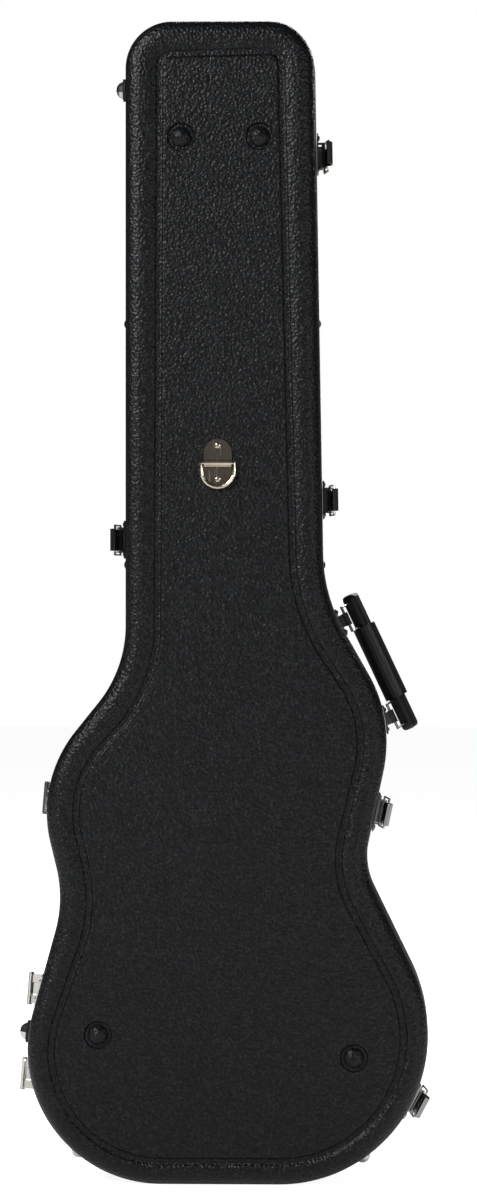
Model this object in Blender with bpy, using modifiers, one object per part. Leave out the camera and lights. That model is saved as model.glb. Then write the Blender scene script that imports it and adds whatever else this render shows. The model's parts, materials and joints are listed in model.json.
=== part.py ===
"""Hard moulded case for a solid-body electric guitar, standing on its lower end.

Metres, +Z up. The back of the case faces -Y and the lid +Y. The hinges are on the -X side
and the handle on the +X side. Depths below are measured from the parting plane between the
two shells: h grows into the base (towards -Y) or into the lid (towards +Y).
"""

import math

import bmesh
import bpy
from mathutils import Matrix, Vector

# Case outline, seen from the back: x, z, corner radius, inset of the moulded groove there
LENGTH = 1.0700
STAND_CUT = 0.0012
OUTLINE = [
    (0.0853, LENGTH, 0.0420, 0.031),
    (-0.0894, LENGTH, 0.0440, 0.033),
    (-0.0894, 0.4740, 0.1130, 0.031),
    (-0.1726, 0.3704, 0.1200, 0.029),
    (-0.1462, 0.2613, 0.1150, 0.029),
    (-0.2189, -STAND_CUT, 0.1240, 0.024),
    (0.2740, -STAND_CUT, 0.1380, 0.024),
    (0.1311, 0.2905, 0.0700, 0.027),
    (0.1597, 0.4257, 0.1250, 0.025),
    (0.0940, 0.5410, 0.1500, 0.028),
]
UPPER_BOUT_CORNER = 3
LOWER_BOUT_CORNER = 5
ARC_STEP = math.radians(14)

# Shells
PART_Y = 0.0150
BASE_DEPTH = 0.0660
LID_DEPTH = 0.0420
WALL = 0.0030
DRAFT = 0.0010
ROLL = 0.0140
GROOVE_HALF = 0.0045
GROOVE_FLOOR_HALF = 0.0018
GROOVE_DEPTH = 0.0024
FIT = 0.0003

# Moulded feet on the back: x and z of each, recess and dome
FEET = [(-0.0370, LENGTH - 0.109), (0.0350, LENGTH - 0.109), (-0.1130, 0.1385), (0.1215, 0.118)]
FOOT_RECESS_R = 0.0128
FOOT_RECESS_DEPTH = 0.0018
FOOT_DOME_R = 0.0090
FOOT_PROUD = 0.0035

# Aluminium rims
RIM_SHEET = 0.0011
RIM_PROUD = 0.0005
RIM_LEG = 0.0075
TONGUE_IN = 0.0012
TONGUE_WIDTH = 0.0012
TONGUE_HEIGHT = 0.0016
TONGUE_PLAY = 0.0005

# Hinges: height on the case, and the leaf and knuckle sizes they share
HINGES = {"upper": 0.351, "middle": 0.172, "lower": 0.092}
HINGE_LENGTH = 0.0280
KNUCKLE_R = 0.0026
PIN_R = 0.0011
HINGE_SHEET = 0.0012
HINGE_LEAF_H = 0.0220

# Draw latches: side of the case (+1 handle side, -1 spine side) and height
LATCHES = {
    "head": (1, LENGTH - 0.118),
    "neck": (1, 0.630),
    "waist": (1, 0.340),
    "bout": (1, 0.072),
    "spine": (-1, 0.593),
}
LATCH_SHEET = 0.0012
LATCH_HALF = 0.0175
LATCH_PLATE_TOP = 0.0022
LATCH_PLATE_LENGTH = 0.0290
LATCH_PIVOT_OUT = 0.0072
LATCH_PIVOT_H = 0.0090
LEVER_HALF = 0.0102
LEVER_SHEET = 0.0015
LEVER_BARREL_R = 0.0020
EAR_R = 0.0027
EAR_SHEET = 0.0014
BAIL_WIRE_R = 0.0012
BAIL_PIVOT_OUT = 0.0043
BAIL_PIVOT_BACK = 0.0015
CATCH_LENGTH = 0.0190
CATCH_HALF = 0.0130
HOOK_H = 0.0050
HOOK_TOP = 0.0042
RIVET_R = 0.0032
RIVET_PROUD = 0.0016

# Handle
HANDLE_HIGH_Z = 0.516
HANDLE_LOW_Z = 0.426
HANDLE_H = 0.0310
HANDLE_STANDOFF = 0.0075
HANDLE_FOLD = math.radians(70.5)
HANDLE_REACH = 0.0360
HANDLE_WIRE_R = 0.0014
HANDLE_LOOP_HALF = 0.0120
HANDLE_TIP = 0.0690
CORE_RADIAL = 0.0180
CORE_THICK = 0.0130
SLEEVE_HALF = 0.0365
SLEEVE_RADIAL = 0.0240
SLEEVE_THICK = 0.0215
EYE_LENGTH = 0.0120
EYE_WALL = 0.0014
BRACKET_HALF = 0.0130
BRACKET_HALF_WIDTH = 0.0100
BRACKET_SHEET = 0.0013

# Strap ring on the back
STRAP_X = -0.0030
STRAP_BAR_Z = 0.6620
STRAP_PLATE_R = 0.0128
STRAP_PLATE_UP = 0.0096
STRAP_PLATE_DOWN = 0.0070
STRAP_SHEET = 0.0012
STRAP_WIRE_R = 0.0018
STRAP_WIRE_LIFT = 0.0026
STRAP_RIVET_R = 0.0030
STRAP_RIVET_UP = 0.0160
STRAP_RIVET_DOWN = 0.0150

# Glides on the spine, feet by the lower end, rivets of the inner supports
GLIDES_Z = [LENGTH - 0.060, 0.136]
GLIDE_R = 0.0082
GLIDE_PROUD = 0.0085
GLIDE_BOSS_R = 0.0105
GLIDE_BOSS_PROUD = 0.0022
END_FEET = [(-1, 0.0260), (1, 0.0225)]
END_FOOT_R = 0.0072
END_FOOT_PROUD = 0.0052
END_FOOT_WASHER = 0.0014
STUD_H = 0.0300
SUPPORT_RIVETS_Z = [0.793, 0.5695]
SUPPORT_RIVET_R = 0.0038

# Foam and plush inside
FOAM_CLEAR = 0.0010
FOAM_TOP_H = 0.0030
FOAM_FLOOR = 0.0120
FOAM_RIM = 0.0210
BODY_TOP_Z = 0.4520
NECK_X = -0.0010
NECK_HALF = 0.0310
NECK_DEPTH = 0.0300
HEAD_LOW_Z = LENGTH - 0.200
HEAD_MARGIN = 0.0300
HEAD_SIDE_MARGIN = 0.0270
BOX_LOW_Z = 0.5650
BOX_HIGH_Z = 0.7650
BOX_SIDE_MARGIN = 0.0130
BOX_WALL = 0.0040
BOX_LID_H = 0.0270
BOX_LID_THICK = 0.0040
BOX_LID_GAP = 0.0010
BOX_PIN_R = 0.0012
PULL_TAB_WIDTH = 0.0160
PULL_TAB_LENGTH = 0.0220
CRADLE_LOW_Z = 0.7720
CRADLE_LENGTH = 0.0420
CRADLE_TOP_H = 0.0080
CRADLE_NOTCH_HALF = 0.0260
CRADLE_NOTCH_DEPTH = 0.0170
PAD_THICK = 0.0180

BASE = -1
LID = 1
DEPTH_AXIS = Vector((0, 1, 0))


# Scene, collections and materials
for old in list(bpy.data.objects):
    bpy.data.objects.remove(old, do_unlink=True)
case = bpy.data.collections.new("electric_guitar_case")
cutters = bpy.data.collections.new("cutters")
for collection in (case, cutters):
    bpy.context.scene.collection.children.link(collection)


def finish(name, colour, metallic, roughness):
    """A plain surface finish for one kind of piece."""
    made = bpy.data.materials.new(name)
    made.use_nodes = True
    surface = made.node_tree.nodes["Principled BSDF"]
    surface.inputs["Base Color"].default_value = (*colour, 1)
    surface.inputs["Metallic"].default_value = metallic
    surface.inputs["Roughness"].default_value = roughness
    made.diffuse_color = (*colour, 1)
    return made


SHELL_ABS = finish("grained_black_abs", (0.020, 0.023, 0.027), 0.0, 0.55)
ALUMINIUM = finish("rim_aluminium", (0.62, 0.62, 0.62), 1.0, 0.35)
NICKEL = finish("bright_nickel", (0.72, 0.70, 0.65), 1.0, 0.18)
WARM_NICKEL = finish("warm_nickel", (0.70, 0.64, 0.54), 1.0, 0.25)
DARK_CHROME = finish("dark_chrome", (0.30, 0.29, 0.28), 1.0, 0.12)
VINYL = finish("handle_vinyl", (0.018, 0.019, 0.020), 0.0, 0.45)
RUBBER = finish("boss_rubber", (0.015, 0.015, 0.016), 0.0, 0.70)
PLUSH = finish("black_plush", (0.022, 0.022, 0.024), 0.0, 0.95)
BOARD = finish("flocked_board", (0.030, 0.030, 0.032), 0.0, 0.90)
RIBBON = finish("pull_ribbon", (0.012, 0.012, 0.013), 0.0, 0.80)


# Outline geometry: straight runs joined by round corners
def corner_arc(corners, index):
    """Centre, radius, first angle and turn of the round corner at one vertex."""
    x, z, radius = corners[index][:3]
    before = corners[index - 1]
    after = corners[(index + 1) % len(corners)]
    into = Vector((x - before[0], z - before[1])).normalized()
    out = Vector((after[0] - x, after[1] - z)).normalized()
    turn = math.atan2(into.x * out.y - into.y * out.x, into.dot(out))
    hand = math.copysign(1, turn)
    reach = radius * math.tan(abs(turn) / 2)
    centre = Vector((x, z)) - into * reach + Vector((-into.y, into.x)) * radius * hand
    first = math.atan2(-into.x * hand, into.y * hand)
    return centre, radius, first, turn


def stations_of(corners, step):
    """Points round the outline as x, z, outward normal x and z, groove inset."""
    stations = []
    for index, corner in enumerate(corners):
        centre, radius, first, turn = corner_arc(corners, index)
        hand = math.copysign(1, turn)
        count = max(2, math.ceil(abs(turn) / step))
        for k in range(count + 1):
            angle = first + turn * k / count
            nx, nz = math.cos(angle), math.sin(angle)
            point = centre + Vector((nx, nz)) * radius
            stations.append((point.x, point.y, nx * hand, nz * hand, corner[3]))
    return stations


STATIONS = stations_of(OUTLINE, ARC_STEP)
FINE = stations_of(OUTLINE, math.radians(1))


def wall_at(z, side):
    """Point and outward normal of the outline at one height, on one side."""
    for a, b in zip(FINE, FINE[1:] + FINE[:1]):
        if a[0] * side > 0 and (a[1] - z) * (b[1] - z) <= 0 and a[1] != b[1]:
            share = (z - a[1]) / (b[1] - a[1])
            point = Vector((a[0] + (b[0] - a[0]) * share, 0, z))
            normal = Vector((a[2] + (b[2] - a[2]) * share, 0, a[3] + (b[3] - a[3]) * share))
            return point, normal.normalized()
    raise ValueError("no wall at this height")


def wall_strip(z, side, half, count):
    """Stations along the wall, half a length either way from one height."""
    middle, normal = wall_at(z, side)
    along = normal.cross(DEPTH_AXIS)
    strip = []
    for k in range(count + 1):
        height = z + along.z * half * (2 * k / count - 1)
        point, out = wall_at(height, side)
        strip.append((point.x, point.z, out.x, out.z, 0))
    return strip


def place(station, inset, h, side):
    """A point at an inset from the outline and a depth from the parting plane."""
    x, z, nx, nz = station[:4]
    lift = max(0, -z - nz * RIM_PROUD) if h <= RIM_LEG + FIT and inset <= rim_inner else 0
    return Vector((x - nx * inset, PART_Y + side * h, max(z - nz * inset + lift, 0)))


def frame_at(origin, out):
    """Local x outwards, local y towards the lid, local z along the wall."""
    along = out.cross(DEPTH_AXIS)
    matrix = Matrix((out, DEPTH_AXIS, along)).transposed().to_4x4()
    matrix.translation = origin
    return matrix


def wall_frame(z, side, h=0.0):
    point, normal = wall_at(z, side)
    return frame_at(point + DEPTH_AXIS * (PART_Y - h), normal)


# Object makers
def keep(mesh, name, material, matrix=None, smooth=True):
    """Links a mesh as one named piece of the case."""
    piece = bpy.data.objects.new(name, mesh)
    case.objects.link(piece)
    mesh.materials.append(material)
    if smooth:
        mesh.shade_smooth()
        mesh.set_sharp_from_angle(angle=math.radians(32))
    if matrix is not None:
        piece.matrix_world = matrix
    return piece


def to_mesh(bm, name):
    mesh = bpy.data.meshes.new(name)
    bm.to_mesh(mesh)
    bm.free()
    return mesh


def as_cutter(piece):
    """Moves a piece to the cutters, where only Boolean modifiers use it."""
    case.objects.unlink(piece)
    cutters.objects.link(piece)
    piece.hide_render = True
    piece.display_type = "WIRE"
    return piece


def cut(piece, tool, operation="DIFFERENCE"):
    step = piece.modifiers.new(operation.lower(), "BOOLEAN")
    step.operation = operation
    step.object = as_cutter(tool)
    step.solver = "EXACT"
    return piece


def carried_by(piece, parent):
    """Parents a placed piece without moving it."""
    bpy.context.view_layer.update()
    piece.parent = parent
    piece.matrix_parent_inverse = parent.matrix_world.inverted()


def pivot(name, matrix):
    empty = bpy.data.objects.new(name, None)
    case.objects.link(empty)
    empty.empty_display_size = 0.02
    empty.matrix_world = matrix
    return empty


def box_mesh(name, low, high):
    bm = bmesh.new()
    bmesh.ops.create_cube(bm, size=1.0)
    low, high = Vector(low), Vector(high)
    size, middle = high - low, (high + low) / 2
    for vert in bm.verts:
        vert.co = Vector(c * s + m for c, s, m in zip(vert.co, size, middle))
    return to_mesh(bm, name)


def box(name, low, high, material, matrix=None, bevel=0.0, segments=1):
    piece = keep(box_mesh(name, low, high), name, material, matrix)
    if bevel:
        edge = piece.modifiers.new("rounded_edges", "BEVEL")
        edge.width = bevel
        edge.segments = segments
        edge.limit_method = "ANGLE"
    return piece


def prism(name, outline, low, high, material, matrix=None):
    """A flat outline in local x and y, given thickness from one local z to another."""
    bm = bmesh.new()
    face = bm.faces.new([bm.verts.new((x, y, low)) for x, y in outline])
    swept = bmesh.ops.extrude_face_region(bm, geom=[face])
    for item in swept["geom"]:
        if isinstance(item, bmesh.types.BMVert):
            item.co.z = high
    bmesh.ops.recalc_face_normals(bm, faces=bm.faces)
    return keep(to_mesh(bm, name), name, material, matrix)


def turned(name, profile, material, matrix=None, steps=16, closed=False):
    """A profile of radius and height, top to bottom on its outer side, spun round local z."""
    bm = bmesh.new()
    points = [bm.verts.new((r, 0, z)) for r, z in profile]
    for a, b in zip(points, points[1:] + (points[:1] if closed else [])):
        bm.edges.new((a, b))
    if not closed:
        last = (points[-1], points[0])
        if all(abs(p.co.x) > 1e-6 for p in last):
            bm.edges.new(last)
    piece = keep(to_mesh(bm, name), name, material, matrix)
    spin = piece.modifiers.new("turned", "SCREW")
    spin.axis = "Z"
    spin.steps = steps
    spin.render_steps = steps
    spin.use_merge_vertices = True
    spin.merge_threshold = 0.00001
    return piece


def dome_profile(radius, proud, foot, rings=3):
    """Half section of a low dome on a short cylinder that ends at foot."""
    ball = (radius * radius + proud * proud) / (2 * proud)
    opening = math.asin(min(1.0, radius / ball))
    if proud > radius:
        opening = math.pi - opening
    points = []
    for k in range(rings + 1):
        angle = opening * k / rings
        points.append((ball * math.sin(angle), proud - ball + ball * math.cos(angle)))
    return points + [(radius, foot), (0, foot)]


def tube_profile(outer, inner, low, high):
    return [(outer, high), (outer, low), (inner, low), (inner, high)]


def wire(name, points, radius, material, matrix=None, cyclic=False, sides=2):
    """A round wire or bar along straight runs between points."""
    curve = bpy.data.curves.new(name, "CURVE")
    curve.dimensions = "3D"
    spline = curve.splines.new("POLY")
    spline.points.add(len(points) - 1)
    for point, position in zip(spline.points, points):
        point.co = (*position, 1)
    spline.use_cyclic_u = cyclic
    curve.bevel_depth = radius
    curve.bevel_resolution = sides
    curve.use_fill_caps = not cyclic
    curve.materials.append(material)
    piece = bpy.data.objects.new(name, curve)
    case.objects.link(piece)
    if matrix is not None:
        piece.matrix_world = matrix
    return piece


def solid_from_curve(piece):
    """Replaces a curve object by its welded mesh, so that it can be cut or joined."""
    bpy.context.view_layer.update()
    evaluated = piece.evaluated_get(bpy.context.evaluated_depsgraph_get())
    mesh = bpy.data.meshes.new_from_object(evaluated)
    bm = bmesh.new()
    bm.from_mesh(mesh)
    bmesh.ops.remove_doubles(bm, verts=bm.verts, dist=0.00001)
    bmesh.ops.recalc_face_normals(bm, faces=bm.faces)
    bm.to_mesh(mesh)
    bm.free()
    made = bpy.data.objects.new(piece.name + "_solid", mesh)
    made.matrix_world = piece.matrix_world
    bpy.data.objects.remove(piece, do_unlink=True)
    case.objects.link(made)
    return made


def loft(name, rings, material, flip=False, cap=True):
    """A skin over rings of like counts, open at the first ring and capped at the last."""
    bm = bmesh.new()
    grid = [[bm.verts.new(point) for point in ring] for ring in rings]
    for near, far in zip(grid, grid[1:]):
        for i in range(len(near)):
            j = (i + 1) % len(near)
            corners = (near[i], near[j], far[j], far[i])
            bm.faces.new(corners[::-1] if flip else corners)
    if cap:
        bm.faces.new(grid[-1][::-1] if flip else grid[-1])
    return keep(to_mesh(bm, name), name, material)


def closed_loft(name, rings, material):
    """A solid over rings, capped at both ends."""
    piece = loft(name, rings, material)
    bm = bmesh.new()
    bm.from_mesh(piece.data)
    bm.verts.ensure_lookup_table()
    bm.faces.new([bm.verts[i] for i in range(len(rings[0]))])
    bmesh.ops.recalc_face_normals(bm, faces=bm.faces)
    bm.to_mesh(piece.data)
    bm.free()
    return piece


def band(name, stations, profile, side, material, closed):
    """A solid strip whose section, given as inset and h, follows the outline."""
    bm = bmesh.new()
    grid = [[bm.verts.new(place(s, d, h, side)) for d, h in profile] for s in stations]
    runs = list(zip(grid, grid[1:]))
    if closed:
        runs.append((grid[-1], grid[0]))
    for here, there in runs:
        for j in range(len(profile)):
            k = (j + 1) % len(profile)
            bm.faces.new((here[j], here[k], there[k], there[j]))
    if not closed:
        bm.faces.new(grid[0])
        bm.faces.new(grid[-1])
    bmesh.ops.recalc_face_normals(bm, faces=bm.faces)
    return keep(to_mesh(bm, name), name, material)


# Shells: moulded tubs with a joggled edge for the rim and a groove round the plain field
half_fit = FIT / 2
tongue_out = TONGUE_IN + TONGUE_WIDTH
slot_top = half_fit + TONGUE_HEIGHT + FIT
leg_back = RIM_SHEET - RIM_PROUD
joggle = leg_back + FIT
rim_inner = joggle + WALL
JOGGLE_RUN = 0.0008
BACK_Y = PART_Y - BASE_DEPTH


def shell(name, depth, edge, side):
    rows = [(joggle, edge), (joggle, RIM_LEG + FIT), (0, RIM_LEG + FIT + JOGGLE_RUN)]
    for k in range(4):
        angle = math.pi / 2 * k / 3
        rows.append((DRAFT + ROLL * (1 - math.cos(angle)), depth - ROLL + ROLL * math.sin(angle)))
    rings = [[place(s, d, h, side) for s in STATIONS] for d, h in rows]
    for across, h in [(-GROOVE_HALF, depth), (-GROOVE_FLOOR_HALF, depth - GROOVE_DEPTH),
                      (GROOVE_FLOOR_HALF, depth - GROOVE_DEPTH), (GROOVE_HALF, depth)]:
        rings.append([place(s, s[4] + across, h, side) for s in STATIONS])
    piece = loft(name, rings, SHELL_ABS, flip=side == LID)
    wall = piece.modifiers.new("wall", "SOLIDIFY")
    wall.thickness = WALL
    wall.offset = -1
    wall.use_even_offset = True
    return piece


def back_frame(x, z, lift=0.0):
    """Local z out of the back, local y up the case."""
    return Matrix.Translation((x, BACK_Y - lift, z)) @ Matrix.Rotation(math.pi / 2, 4, "X")


OVERCUT = 0.0020
DOME_ROOT = 0.0004
base_shell = shell("base_shell", BASE_DEPTH, half_fit + RIM_SHEET + FIT, BASE)
recess = [(0, OVERCUT), (FOOT_RECESS_R, OVERCUT), (FOOT_RECESS_R, -FOOT_RECESS_DEPTH),
          (0, -FOOT_RECESS_DEPTH)]
for number, (x, z) in enumerate(FEET):
    cut(base_shell, turned(f"recess_{number}", recess, SHELL_ABS, back_frame(x, z), 20))
    foot = dome_profile(FOOT_DOME_R, FOOT_PROUD + FOOT_RECESS_DEPTH, -DOME_ROOT)
    cut(base_shell, turned(f"foot_{number}", foot, SHELL_ABS,
                           back_frame(x, z, -FOOT_RECESS_DEPTH), 16), "UNION")
lid_shell = shell("lid_shell", LID_DEPTH, slot_top + RIM_SHEET + FIT, LID)

# Rims: extruded aluminium, a tongue on the base and its slot on the lid
base_rim = band("base_rim", STATIONS, [
    (-RIM_PROUD, RIM_LEG), (-RIM_PROUD, half_fit), (TONGUE_IN, half_fit),
    (TONGUE_IN, -TONGUE_HEIGHT), (tongue_out, -TONGUE_HEIGHT), (tongue_out, half_fit),
    (rim_inner, half_fit), (rim_inner, half_fit + RIM_SHEET),
    (leg_back, half_fit + RIM_SHEET), (leg_back, RIM_LEG)], BASE, ALUMINIUM, True)
lid_rim = band("lid_rim", STATIONS, [
    (-RIM_PROUD, RIM_LEG), (-RIM_PROUD, half_fit), (TONGUE_IN - TONGUE_PLAY, half_fit),
    (TONGUE_IN - TONGUE_PLAY, slot_top), (tongue_out + TONGUE_PLAY, slot_top),
    (tongue_out + TONGUE_PLAY, half_fit), (rim_inner, half_fit),
    (rim_inner, slot_top + RIM_SHEET), (leg_back, slot_top + RIM_SHEET),
    (leg_back, RIM_LEG)], LID, ALUMINIUM, True)


# Studs and webs shared by the hardware
OUT_OF_WALL = Matrix.Rotation(math.pi / 2, 4, "Y")
ON_EDGE = Matrix.Rotation(math.pi / 2, 4, "X")


def stud(name, matrix, offset, radius, proud, material, foot=0.0, rings=2, steps=12):
    """A dome whose foot stands at an offset in a frame whose local x points outwards."""
    at = matrix @ Matrix.Translation(offset) @ OUT_OF_WALL
    return turned(name, dome_profile(radius, proud, foot, rings), material, at, steps)


def web(name, axis, side, inner, low, high, depth, reach, material):
    """A plate from a knuckle or eye to the leaf on the wall, between two local z."""
    outline = [(inner, high), (inner, low)]
    for k in range(3):
        along = axis @ Vector((0, 0, low + (high - low) * k / 2))
        point, normal = wall_at(along.z, side)
        foot = axis.inverted() @ (point + normal * reach + DEPTH_AXIS * along.y)
        outline.append((foot.x, low + (high - low) * k / 2))
    return prism(name, outline, depth[0], depth[1], material, axis @ ON_EDGE)


# Hinges on one straight axis, which touches both bouts on the spine side
upper, upper_r = corner_arc(OUTLINE, UPPER_BOUT_CORNER)[:2]
lower, lower_r = corner_arc(OUTLINE, LOWER_BOUT_CORNER)[:2]
between = upper - lower
lean = (lower_r - upper_r) / between.length
between.normalize()
square = Vector((-between.y, between.x)) * math.copysign(1, -(-between.y))
normal_2d = between * lean + square * math.sqrt(1 - lean * lean)
HINGE_OUT = Vector((normal_2d.x, 0, normal_2d.y))
HINGE_STANDOFF = RIM_PROUD + FIT + HINGE_SHEET + FIT + KNUCKLE_R
HINGE_ROOT = Vector((upper.x, PART_Y, upper.y)) + HINGE_OUT * (upper_r + HINGE_STANDOFF)
HINGE_DIRECTION = DEPTH_AXIS.cross(HINGE_OUT)
END_KNUCKLE = 0.0080
LEAF_START = 0.0007
WEB_DEPTH = 0.0020
LEAF_STEP = 0.0012
HINGE_RIVET_H = 0.0160
HINGE_RIVET_ALONG = 0.0080
SMALL_RIVET_R = 0.0024
PIN_HEAD = 0.0009

near, far = -(RIM_PROUD + FIT), -FIT
leaf_profile = [
    (near - HINGE_SHEET, LEAF_START), (near - HINGE_SHEET, RIM_LEG + LEAF_STEP),
    (far - HINGE_SHEET, RIM_LEG + 2 * LEAF_STEP), (far - HINGE_SHEET, HINGE_LEAF_H),
    (far, HINGE_LEAF_H), (far, RIM_LEG + 2 * LEAF_STEP), (near, RIM_LEG + LEAF_STEP),
    (near, LEAF_START)]
hinge_half = HINGE_LENGTH / 2
inner_half = hinge_half - END_KNUCKLE
web_start = -(PIN_R + FIT + KNUCKLE_R) / 2
hinge_pieces = {"base": [], "lid": []}
for which, z in HINGES.items():
    share = (z - HINGE_ROOT.z) / HINGE_DIRECTION.z
    axis = frame_at(HINGE_ROOT + HINGE_DIRECTION * share, HINGE_OUT)
    for part, side, knuckles in [
            ("base", BASE, [(inner_half, hinge_half), (-hinge_half, -inner_half)]),
            ("lid", LID, [(-inner_half + FIT, inner_half - FIT)])]:
        leaf = band(f"hinge_{which}_{part}_leaf", wall_strip(z, -1, hinge_half, 4),
                    leaf_profile, side, NICKEL, False)
        depth = sorted((-side * LEAF_START, -side * (LEAF_START + WEB_DEPTH)))
        for number, (low, high) in enumerate(knuckles):
            knuckle = tube_profile(KNUCKLE_R, PIN_R + FIT, low, high)
            cut(leaf, web(f"web_{which}_{part}_{number}", axis, -1, web_start,
                          low + FIT, high - FIT, depth, RIM_PROUD + FIT + HINGE_SHEET / 2, NICKEL), "UNION")
            cut(leaf, turned(f"knuckle_{which}_{part}_{number}", knuckle, NICKEL, axis,
                             12, closed=True), "UNION")
        hinge_pieces[part].append(leaf)
        for along in (-HINGE_RIVET_ALONG, HINGE_RIVET_ALONG):
            frame = wall_frame(z + along, -1, -side * HINGE_RIVET_H)
            cut(leaf, stud(f"rivet_{which}_{part}_{along:+.3f}", frame,
                           (FIT + HINGE_SHEET, 0, 0), SMALL_RIVET_R, RIVET_PROUD, NICKEL,
                           -HINGE_SHEET / 2), "UNION")
    head = hinge_half + FIT + PIN_HEAD
    turned(f"hinge_{which}_pin", [
        (0, head), (KNUCKLE_R - FIT, head), (KNUCKLE_R - FIT, hinge_half + FIT),
        (PIN_R, hinge_half + FIT), (PIN_R, -hinge_half - FIT),
        (KNUCKLE_R - FIT, -hinge_half - FIT), (KNUCKLE_R - FIT, -head), (0, -head)],
        NICKEL, axis, 12)

lid_pivot = pivot("lid_axis", frame_at(HINGE_ROOT, HINGE_OUT))
lid_side = [lid_shell, lid_rim] + hinge_pieces["lid"]


# Draw latches: base plate with ears, lever, wire bail and hooked catch
def ribbon(points, thickness):
    """Outline of a bent sheet round its centre line."""
    line = [Vector(p) for p in points]
    left, right = [], []
    for i, point in enumerate(line):
        before = (point - line[i - 1]).normalized() if i else None
        after = (line[i + 1] - point).normalized() if i < len(line) - 1 else None
        run = ((before or after) + (after or before)).normalized()
        stretch = 1 / run.dot(after or before)
        offset = Vector((-run.y, run.x)) * thickness / 2 * stretch
        left.append(point + offset)
        right.append(point - offset)
    return [tuple(p) for p in left + right[::-1]]


PLATE_X = RIM_PROUD + FIT
HOOK_REACH = 0.0034
HOOK_LIP = 0.0010
HOOK_SHEET = 0.0012
EAR_GAP = LEVER_HALF + FIT
BAIL_HALF = 0.0138
BAIL_BAR_H = 0.0075
LATCH_RIVET_H = 0.0235
LATCH_RIVET_ALONG = 0.0140
CATCH_RIVET_H = 0.0150
CATCH_RIVET_ALONG = 0.0080
LEVER_LINE = [(0.0, 0.0), (0.0045, -0.0020), (0.0070, -0.0070), (0.0072, -0.0150),
              (0.0050, -0.0210), (0.0025, -0.0225)]
hook_face = PLATE_X + LATCH_SHEET + HOOK_TOP
hook_end = HOOK_H + HOOK_REACH
bail_bar_x = hook_face + BAIL_WIRE_R + FIT
for which, (side, z) in LATCHES.items():
    frame = wall_frame(z, side)
    plate_face = PLATE_X + LATCH_SHEET
    base = box(f"latch_{which}_base",
               (PLATE_X, -LATCH_PLATE_TOP - LATCH_PLATE_LENGTH, -LATCH_HALF),
               (plate_face, -LATCH_PLATE_TOP, LATCH_HALF), DARK_CHROME, frame)
    ear = [(PLATE_X + LATCH_SHEET / 2, -LATCH_PIVOT_H - EAR_R),
           (PLATE_X + LATCH_SHEET / 2, -LATCH_PIVOT_H + EAR_R)]
    for k in range(7):
        angle = math.pi / 2 - math.pi * k / 6
        ear.append((LATCH_PIVOT_OUT + EAR_R * math.cos(angle),
                    -LATCH_PIVOT_H + EAR_R * math.sin(angle)))
    for hand in (-1, 1):
        low, high = sorted((hand * EAR_GAP, hand * (EAR_GAP + EAR_SHEET)))
        cut(base, prism(f"ear_{which}_{hand + 1}", ear, low, high, DARK_CHROME, frame), "UNION")
        offset = (plate_face, -LATCH_RIVET_H, hand * LATCH_RIVET_ALONG)
        cut(base, stud(f"base_rivet_{which}_{hand + 1}", frame, offset, RIVET_R, RIVET_PROUD,
                       NICKEL, -LATCH_SHEET / 2), "UNION")
    lever_frame = frame @ Matrix.Translation((LATCH_PIVOT_OUT, -LATCH_PIVOT_H, 0))
    lever = prism(f"latch_{which}_lever", ribbon(LEVER_LINE, LEVER_SHEET),
                  -LEVER_HALF, LEVER_HALF, DARK_CHROME, lever_frame)
    barrel = [(0, LEVER_HALF), (LEVER_BARREL_R, LEVER_HALF), (LEVER_BARREL_R, -LEVER_HALF),
              (0, -LEVER_HALF)]
    cut(lever, turned(f"barrel_{which}", barrel, DARK_CHROME, lever_frame, 12), "UNION")
    lever_pivot = pivot(f"latch_{which}_lever_axis", lever_frame)
    bail_frame = lever_frame @ Matrix.Translation((BAIL_PIVOT_OUT, -BAIL_PIVOT_BACK, 0))
    bar = (bail_bar_x - LATCH_PIVOT_OUT - BAIL_PIVOT_OUT,
           BAIL_BAR_H + LATCH_PIVOT_H + BAIL_PIVOT_BACK)
    bail = wire(f"latch_{which}_bail", [
        (0, 0, -EAR_GAP), (0, 0, -BAIL_HALF), (*bar, -BAIL_HALF), (*bar, BAIL_HALF),
        (0, 0, BAIL_HALF), (0, 0, EAR_GAP)], BAIL_WIRE_R, NICKEL, bail_frame)
    carried_by(lever, lever_pivot)
    carried_by(bail, lever_pivot)
    catch = box(f"latch_{which}_catch", (PLATE_X, LATCH_PLATE_TOP, -CATCH_HALF),
                (plate_face, LATCH_PLATE_TOP + CATCH_LENGTH, CATCH_HALF), DARK_CHROME, frame)
    hook = [(plate_face - LATCH_SHEET / 2, HOOK_H), (hook_face, HOOK_H), (hook_face, hook_end),
            (hook_face - HOOK_LIP, hook_end), (hook_face - HOOK_LIP, HOOK_H + HOOK_SHEET),
            (plate_face - LATCH_SHEET / 2, HOOK_H + HOOK_SHEET)]
    cut(catch, prism(f"hook_{which}", hook, -CATCH_HALF + HOOK_LIP * 2,
                     CATCH_HALF - HOOK_LIP * 2, DARK_CHROME, frame), "UNION")
    for hand in (-1, 1):
        offset = (plate_face, CATCH_RIVET_H, hand * CATCH_RIVET_ALONG)
        cut(catch, stud(f"catch_rivet_{which}_{hand + 1}", frame, offset, RIVET_R, RIVET_PROUD,
                        NICKEL, -LATCH_SHEET / 2), "UNION")
    lid_side.append(catch)

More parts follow.
